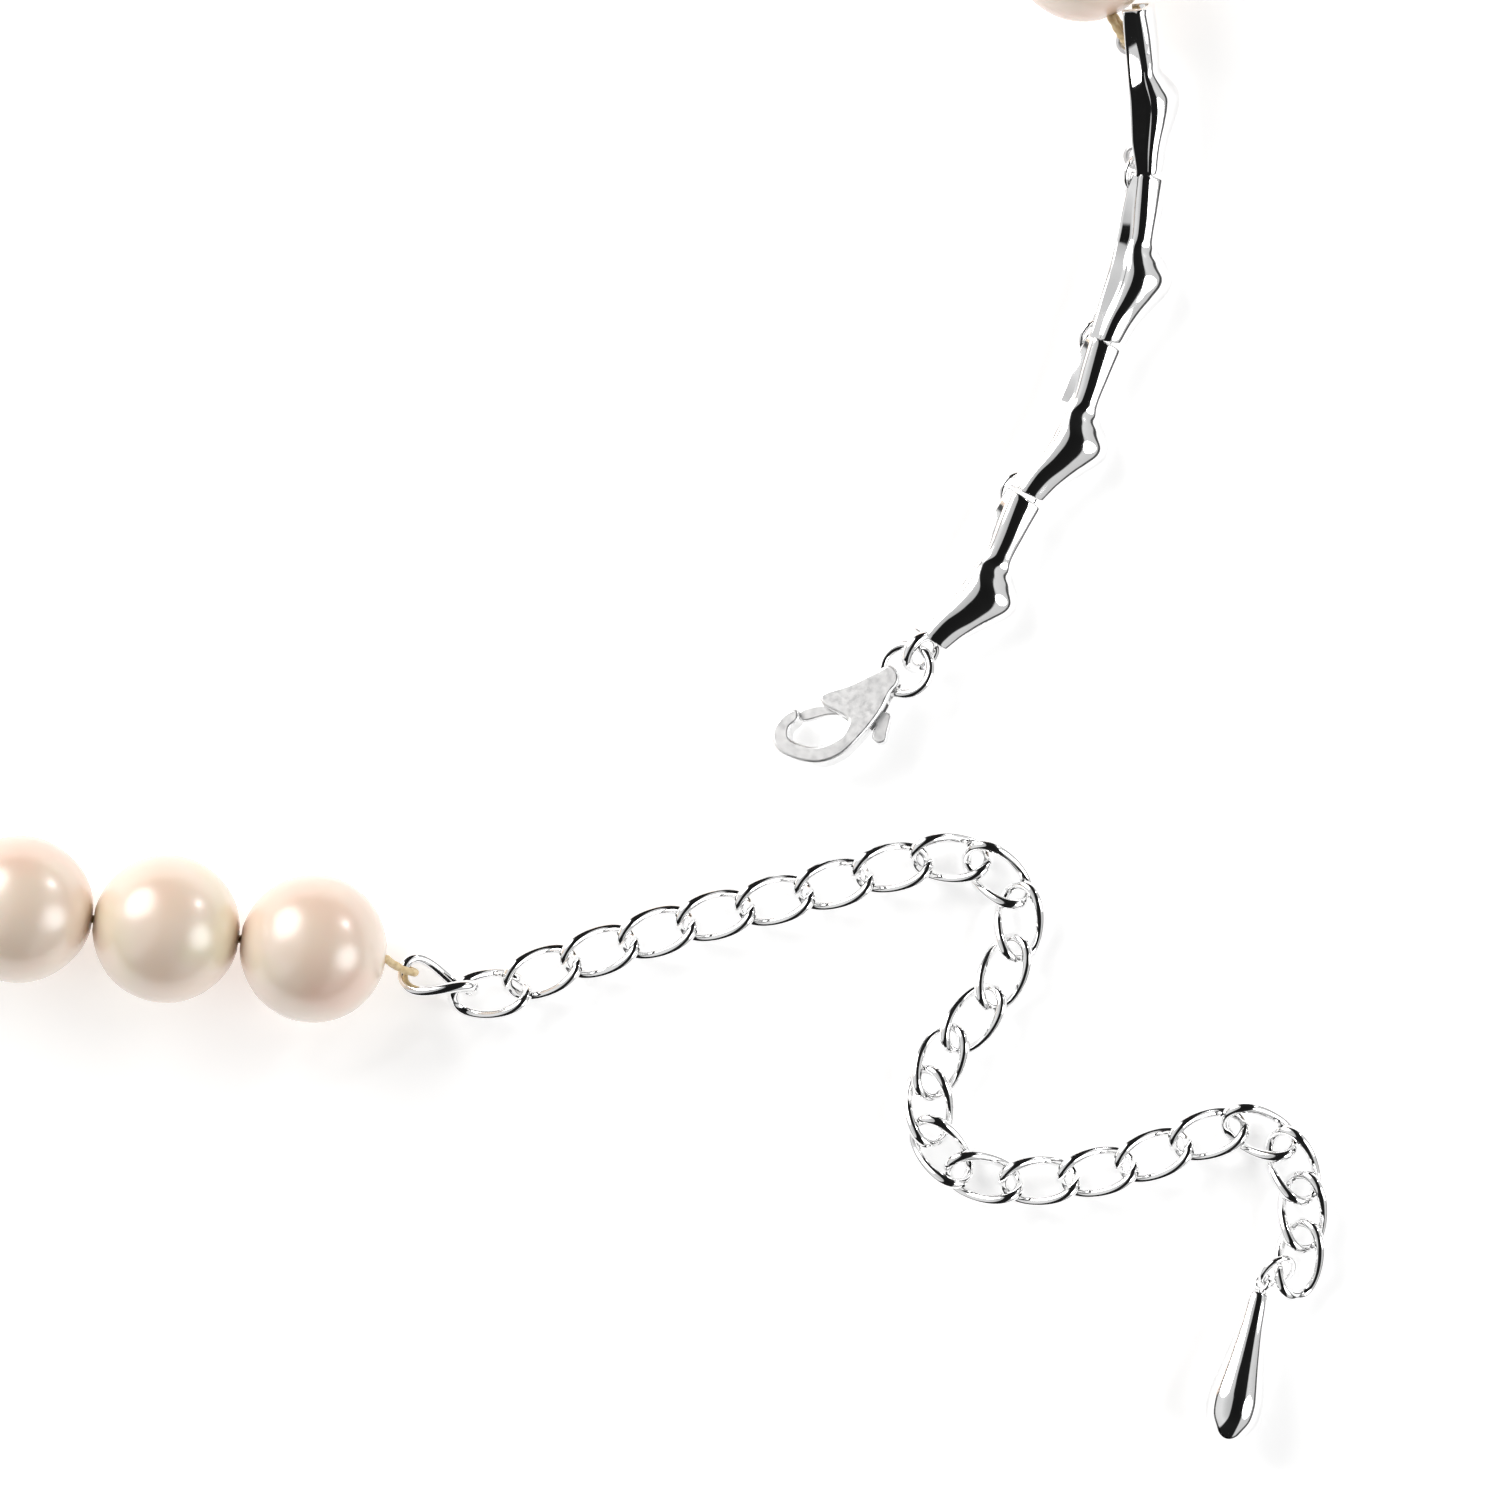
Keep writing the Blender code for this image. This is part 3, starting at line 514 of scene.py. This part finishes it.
def bar_ring(place, x, at, back_stations, shrink):
    """One section of the channel: arched front leaning to one side, open back, with rounded lips."""
    middle, half = smooth(ARCH_MIDDLE, at), smooth(ARCH_HALF, at) - shrink
    foot, crest = smooth(ARCH_FOOT, at), smooth(ARCH_CREST, at) - shrink
    back = ease(back_stations, at)
    share = (foot - back) / (foot + BACK_DEPTH)
    left = middle - half + (smooth(LEFT_BACK, at) + shrink - middle + half) * share
    right = middle + half + (smooth(RIGHT_BACK, at) - shrink - middle - half) * share
    outer = [(left + LIP, back), (left + LIP_CORNER, back + LIP_CORNER), (left, back + LIP)]
    for k in range(1, 5):
        outer.append((left + (middle - half - left) * k / 5, back + LIP + (foot - back - LIP) * k / 5))
    for k in range(33):
        t = math.pi * (1 - k / 32)
        outer.append((middle + half * math.cos(t), foot + (crest - foot) * math.sin(t)))
    for k in range(1, 5):
        outer.append((middle + half + (right - middle - half) * k / 5, foot + (back + LIP - foot) * k / 5))
    outer += [(right, back + LIP), (right - LIP_CORNER, back + LIP_CORNER), (right - LIP, back)]
    reach = half - (WALL - shrink) * SIDE_WALL
    roof = crest - WALL + shrink
    low = min(foot - 0.05, roof - 0.08)
    inner = [(right - WALL + shrink, back)]
    for k in range(17):
        t = math.pi * k / 16
        inner.append((middle + reach * math.cos(t), low + (roof - low) * math.sin(t)))
    inner.append((left + WALL - shrink, back))
    return [place.at(x, w, f) for w, f in outer + inner]


def bar_shell(place, back_stations):
    """The rims at both ends are rounded over and reach a little past the bar's nominal length."""
    end = BAR_LENGTH + RIM_REACH
    places = [-RIM_REACH + inset for inset in (0.0, 0.02, 0.06, 0.12)]
    places += [0.2 + (BAR_LENGTH - 0.4) * k / 90 for k in range(91)]
    places += [end - inset for inset in (0.12, 0.06, 0.02, 0.0)]
    rings = []
    for x in places:
        from_end = min(x + RIM_REACH, end - x)
        shrink = RIM_DEPTH * (1 - math.sqrt(1 - (1 - min(1.0, from_end / RIM_RUN)) ** 2))
        rings.append(bar_ring(place, x, min(max(x, 0.0), BAR_LENGTH), back_stations, shrink))
    return loft(rings)


def eye_plate(place, inset_by, lower):
    """A flat tab under the bar's roof, round at its foot, with a hole for the ring."""
    at = BAR_LENGTH - inset_by if lower else inset_by
    top = smooth(ARCH_CREST, at) - 0.25
    outer, inner = [], []
    for i in range(48):
        t = 2 * math.pi * (i + 0.5) / 48
        x, z = EYE_R * math.cos(t), EYE_DEPTH + EYE_R * math.sin(t)
        if math.sin(t) > 0.25:
            x = math.copysign(min(TAB_HALF, abs(x) * 1.6), x)
            z = top
        outer.append((x, z))
        inner.append((EYE_HOLE * math.cos(t), EYE_DEPTH + EYE_HOLE * math.sin(t)))
    rings = []
    for shape, level in ((outer, EYE_HALF), (outer, -EYE_HALF), (inner, -EYE_HALF), (inner, EYE_HALF)):
        rings.append([place.at(at + x, level, z) for x, z in shape])
    return loft(rings, wrap=True)


bar_frames = [bar_frame(upper, lower, roll) for upper, lower, roll, _, _, _ in BARS]
eyes = []
for place, (_, _, _, upper_in, lower_in, _) in zip(bar_frames, BARS):
    lower_hole = place.at(BAR_LENGTH - lower_in, 0, EYE_DEPTH) if lower_in else None
    eyes.append((place.at(upper_in, 0, EYE_DEPTH), lower_hole))
for i, (place, (_, _, _, upper_in, lower_in, back)) in enumerate(zip(bar_frames, BARS)):
    name = "bar_link_%d" % (i + 1)
    finish_piece("bar_shell_%d" % (i + 1), bar_shell(place, back), SILVER, name, "silver", name)
    upper_eye = eye_plate(place, upper_in, False)
    finish_piece("bar_upper_eye_%d" % (i + 1), upper_eye, INNER_SILVER, name, "silver")
    if lower_in:
        lower_eye = eye_plate(place, lower_in, True)
        finish_piece("bar_lower_eye_%d" % (i + 1), lower_eye, INNER_SILVER, name, "silver")
        near, far = eyes[i][1], eyes[i + 1][0]
        along = (far - near).normalized()
        width = place.ey + bar_frames[i + 1].ey
        width = (width - along * width.dot(along)).normalized()
        ring_name = "bar_ring_%d" % (i + 1)
        shape = torus((near + far) / 2, along, width, (far - near).length / 2, JOINING_WIRE, 48, 14)
        finish_piece("jump_ring_%d" % (i + 1), shape, CHAIN_SILVER, ring_name, "silver", ring_name)


# ---------------------------------------------------------------- thread loops
GIMP_R, LEG_HALF = 0.24, 0.22


def gimp_loop(name, hole, inward, side, middle, middle_half, far, far_half, body, node):
    """Covered thread from a pearl's hole round what it holds and back.

    middle_half and far_half are the loop's half-widths at the middle and far points.
    """
    onward = (far - middle).normalized()
    across = (side - inward * side.dot(inward)).normalized() * LEG_HALF
    points = [
        hole + inward * 0.6 + across,
        hole + across,
        middle + side * middle_half,
        far - onward * 0.25 + side * far_half,
        far + onward * 0.12 + side * (far_half * 0.45),
        far + onward * 0.12 - side * (far_half * 0.45),
        far - onward * 0.25 - side * far_half,
        middle - side * middle_half,
        hole - across,
        hole + inward * 0.6 - across,
    ]
    normal = side.cross(onward).normalized()
    shape = sweep(spline(points, 16), normal, GIMP_R, 18, closed=False, twist=0.35, ridge=0.10)
    finish_piece(name, shape, GIMP, body, "gimp", node)


first_hole = centres[0] - axes[0] * (PEARL_R - 0.03)
link_end = first_link.at(-LINK[0], 0, 0)
chain_side = (first_link.ez * 0.42 - first_link.ey * 0.9 - first_link.ex * 0.2).normalized()
gimp_loop("gimp_chain_side", first_hole, axes[0], chain_side, first_hole.lerp(link_end, 0.72), 0.86,
          first_link.at(-LINK[0] + 0.58, -0.2, 0.0), 0.75, "pearl_01", "thread_loop_chain")
last_hole = centres[LAST] + axes[LAST] * (PEARL_R - 0.03)
top_eye, bar_width = eyes[0][0], bar_frames[0].ey
reach = last_hole - top_eye
beside = bar_width * reach.dot(bar_width)
between = top_eye + (reach - beside) * 0.45 + beside * 0.15
gimp_loop("gimp_bar_side", last_hole, -axes[LAST], -bar_width, between, 0.42, top_eye, 0.43,
          "pearl_37", "thread_loop_bar")


# ---------------------------------------------------------------- clasp
# Outlines in the clasp's own plane, where x runs from the hook to the eye. The slot's corners stay sharp.
CLASP_BODY = [
    (8.75, -0.90), (8.82, -0.35), (8.6, 0.05), (7.99, 0.16), (7.22, 0.32), (5.86, 0.62), (4.5, 1.12),
    (3.95, 1.03),
    (3.9, 0.36), (4.5, -1.0), (4.25, -1.45), (3.36, -1.72), (1.9, -1.3), (0.98, -0.07), (1.3, 0.6),
    (2.13, 0.75), (2.37, 1.38), (1.39, 1.58), (0.2, 1.08), (-0.08, -0.25), (1.15, -2.05), (2.81, -2.74),
    (4.83, -2.5), (6.45, -2.06), (7.6, -1.5), (8.35, -1.3),
]
CLASP_SLOT = [
    (3.1, 0.62), (4.5, 0.62), (5.86, 0.10), (6.85, -0.22), (6.85, -0.7), (7.1, -1.0), (7.1, -3.0),
    (5.3, -3.0),
    (5.3, -1.9), (4.75, -1.3), (3.4, -0.9),
]
TRIGGER = [
    (2.56, 1.26), (2.24, 0.62), (3.65, -0.05), (4.55, -0.75), (5.0, -1.15), (5.55, -1.75),
    (5.75, -2.35), (5.3, -2.65),
    (5.02, -3.0), (5.15, -3.45), (5.6, -3.6), (5.95, -3.3), (6.5, -2.85), (6.85, -2.45),
    (6.6, -2.0), (6.45, -1.6),
    (6.1, -0.95), (5.85, -0.3), (5.5, 0.05), (4.9, 0.12), (4.2, 0.48),
]
# Half thickness and rounded rim of the clasp's plate and lever.
CLASP_HALF, CLASP_RIM = 0.98, 0.34
LEVER_HALF, LEVER_RIM = 0.35, 0.12
SLOT_HALF = 0.45
PIN_R, PIN_HALF = 0.3, 0.9
SPRING_R = 0.085
ring_dir = Vector((0.62, 0.78, 0)).normalized()
ring_side = Vector((-0.78, 0.62, 0)).normalized()
soldered = bar_frames[3].at(BAR_LENGTH + 1.05, 0, -0.1)
soldered.z = 1.35
a_second = ring_side * math.cos(math.radians(50)) + UP * math.sin(math.radians(50))
soldered_ring = torus(soldered, ring_dir, a_second, 1.15, 0.38, 72, 24)
finish_piece("soldered_ring", soldered_ring, SILVER, "bar_link_4", "silver")
b_second = ring_side * math.cos(math.radians(20)) - UP * math.sin(math.radians(20))
clasp_ring = torus(Vector((9.755, 5.037, 1.6)), ring_dir, b_second, 1.57, 0.33, 80, 24)
finish_piece("clasp_jump_ring", clasp_ring, SILVER, "clasp_ring", "silver", "clasp_ring")
clasp_along = Vector((0.796, 0.605, 0)).normalized()
tilt = Matrix.Rotation(math.radians(-13.0), 3, clasp_along)
clasp = Frame(Vector((1.93, -0.07, 1.33)), clasp_along, tilt @ UP.cross(clasp_along), tilt @ UP)


def rounded_plate(name, outline, half, mat, bevel, steps):
    """A plate with softly rounded rims."""
    path = spline([(x, y, 0) for x, y in outline], steps, closed=True)
    flat = [(p.x, p.y) for p in path]
    verts, faces = loft([[clasp.at(x, y, z) for x, y in flat] for z in (-half, half)])
    obj = mesh_object(name, verts, faces, mat, None, smooth=False)
    rim = obj.modifiers.new("rim", "BEVEL")
    rim.width = bevel * MM
    rim.segments = 5
    rim.limit_method = "ANGLE"
    rim.angle_limit = math.radians(60)
    return obj


def cut(obj, name, verts, faces):
    """Takes a closed shape out of an object."""
    cutter = mesh_object(name, verts, faces, INNER_SILVER, None, smooth=False)
    cutter.hide_render = True
    cutter.hide_viewport = True
    cutter.parent = obj
    opening = obj.modifiers.new(name, "BOOLEAN")
    opening.operation = "DIFFERENCE"
    opening.solver = "EXACT"
    opening.object = cutter


def rod(centre, axis, radius, half, sides=40):
    ex = axis.orthogonal().normalized()
    return loft([circle(centre + axis * end, ex, axis.cross(ex), radius, sides) for end in (-half, half)])


def smooth_edges(obj):
    for polygon in obj.data.polygons:
        polygon.use_smooth = True
    normals = obj.modifiers.new("normals", "WEIGHTED_NORMAL")
    normals.keep_sharp = True


shell = rounded_plate("clasp_shell", CLASP_BODY, CLASP_HALF, CLASP_SILVER, CLASP_RIM, 5)
slot = loft([[clasp.at(x, y, z) for x, y in CLASP_SLOT] for z in (-SLOT_HALF, SLOT_HALF)])
cut(shell, "slot_cutter", *slot)
cut(shell, "eye_cutter", *rod(clasp.at(7.84, -0.6, -0.02), clasp.ey, 0.64, 2.5))
smooth_edges(shell)
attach(shell, "clasp_body")
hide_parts("clasp_body")
lever = rounded_plate("thumb_lever", TRIGGER, LEVER_HALF, CLASP_SILVER, LEVER_RIM, 4)
smooth_edges(lever)
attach(lever, "clasp_trigger")
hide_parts("clasp_trigger")
pin = rod(clasp.at(5.3, -0.45, 0), clasp.ez, PIN_R, PIN_HALF)
finish_piece("pivot_pin", pin, CLASP_SILVER, "clasp_body", "silver", "clasp_pin")
strip = spline([clasp.at(x, y, 0) for x, y in ((6.3, -0.95), (6.62, -0.62), (6.25, -0.28), (6.02, -0.2))], 8)
spring = sweep(strip, clasp.ez, SPRING_R, 12, closed=False)
finish_piece("lever_spring", spring, INNER_SILVER, "clasp_body", "silver", "clasp_spring")


# ---------------------------------------------------------------- stage
GAP_LEAN, GAP_TURN = 27.0, -12.0
TENT_STRENGTH, TABLE_GLOW = 0.82, 0.41
# Each light's name, place from the middle of the picture and size in metres, watts and colour.
LIGHTS = [
    ("key", (-0.40, 0.36, 0.30), 0.50, 2.6, (1.0, 0.98, 0.96)),
    ("fill", (0.50, -0.14, 0.34), 0.40, 1.4, (1.0, 1.0, 1.0)),
    ("spark", (0.42, 0.34, 0.22), 0.05, 0.35, (1.0, 1.0, 1.0)),
]
# The camera's distance from the level that the picture's width is measured at, all in metres.
CAMERA_DISTANCE, LEVEL, PICTURE_WIDTH = 0.9, 0.002, 0.09375
SENSOR_WIDTH = 36.0


def floor():
    bpy.ops.mesh.primitive_plane_add(size=3.0, location=(0, 0, -0.0004))
    obj = bpy.context.object
    obj.name = "table_top"
    n = Nodes("pale_table")
    n.set(Roughness=0.85, Emission_Color=(1, 1, 1, 1), Emission_Strength=TABLE_GLOW)
    tone = n.noise(40.0, 2.0)
    color = n.ramp(tone, "Fac", [(0.3, (0.93, 0.93, 0.93)), (0.7, (0.95, 0.95, 0.95))])
    n.link(color, "Color", n.shader, "Base Color")
    obj.data.materials.append(n.mat)


def world():
    """A bright tent with a dark gap overhead that leans to the right and a dark skirt above the horizon."""
    made = bpy.data.worlds.new("tent")
    bpy.context.scene.world = made
    made.use_nodes = True
    tree = made.node_tree
    back = tree.nodes["Background"]
    coord = tree.nodes.new("ShaderNodeTexCoord")

    def band(way, stops):
        """Grey by how far a direction points along the way, from -1 to 1."""
        dot = tree.nodes.new("ShaderNodeVectorMath")
        dot.operation = "DOT_PRODUCT"
        dot.inputs[1].default_value = way
        tree.links.new(coord.outputs["Generated"], dot.inputs[0])
        scale = tree.nodes.new("ShaderNodeMath")
        scale.operation = "MULTIPLY_ADD"
        scale.inputs[1].default_value = 0.5
        scale.inputs[2].default_value = 0.5
        tree.links.new(dot.outputs["Value"], scale.inputs[0])
        ramp = tree.nodes.new("ShaderNodeValToRGB")
        while len(ramp.color_ramp.elements) < len(stops):
            ramp.color_ramp.elements.new(0.5)
        for element, (at, value) in zip(ramp.color_ramp.elements, stops):
            element.position = at * 0.5 + 0.5
            element.color = (value, value, value, 1)
        tree.links.new(scale.outputs[0], ramp.inputs["Fac"])
        return ramp

    def times(a, b):
        node = tree.nodes.new("ShaderNodeMix")
        node.data_type = "RGBA"
        node.blend_type = "MULTIPLY"
        node.inputs[0].default_value = 1.0
        tree.links.new(a, node.inputs[6])
        tree.links.new(b, node.inputs[7])
        return node.outputs[2]

    lean = math.radians(GAP_LEAN)
    turn = math.radians(GAP_TURN)
    way = (math.cos(lean) * math.cos(turn), math.cos(lean) * math.sin(turn), -math.sin(lean))
    gap = band(way, [(-1, 1.0), (-0.64, 1.0), (-0.60, 0.02), (0.18, 0.02), (0.24, 1.0), (1, 1.0)])
    low_stops = [(-1, 0.8), (0.0, 0.8), (0.04, 0.10), (0.14, 0.10)]
    skirt = band((0, 0, 1), low_stops + [(0.18, 0.95), (0.6, 1.0), (0.88, 0.7), (1.0, 0.6)])
    slope = band((-0.55, 0.45, 0.70), [(-1, 0.75), (-0.2, 0.8), (0.5, 0.95), (1, 1.0)])
    color = times(times(gap.outputs["Color"], skirt.outputs["Color"]), slope.outputs["Color"])
    tree.links.new(color, back.inputs["Color"])
    back.inputs["Strength"].default_value = TENT_STRENGTH


def area(name, at, size, watts, color):
    data = bpy.data.lights.new(name, "AREA")
    data.shape = "DISK"
    data.size = size
    data.energy = watts
    data.color = color
    obj = bpy.data.objects.new(name, data)
    obj.location = at
    obj.rotation_euler = (LOOK - at).to_track_quat("-Z", "Y").to_euler()
    bpy.context.scene.collection.objects.link(obj)


floor()
world()
for name, offset, size, watts, color in LIGHTS:
    area(name, LOOK + Vector(offset), size, watts, color)
bpy.context.scene.view_settings.view_transform = "Standard"

camera_data = bpy.data.cameras.new("camera")
camera = bpy.data.objects.new("camera", camera_data)
camera.location = LOOK + Vector((0, 0, CAMERA_DISTANCE + LEVEL))
camera_data.type = "PERSP"
camera_data.sensor_width = SENSOR_WIDTH
camera_data.lens = SENSOR_WIDTH * CAMERA_DISTANCE / PICTURE_WIDTH
camera_data.clip_start = 0.01
camera_data.clip_end = 20.0
bpy.context.scene.collection.objects.link(camera)
bpy.context.scene.camera = camera
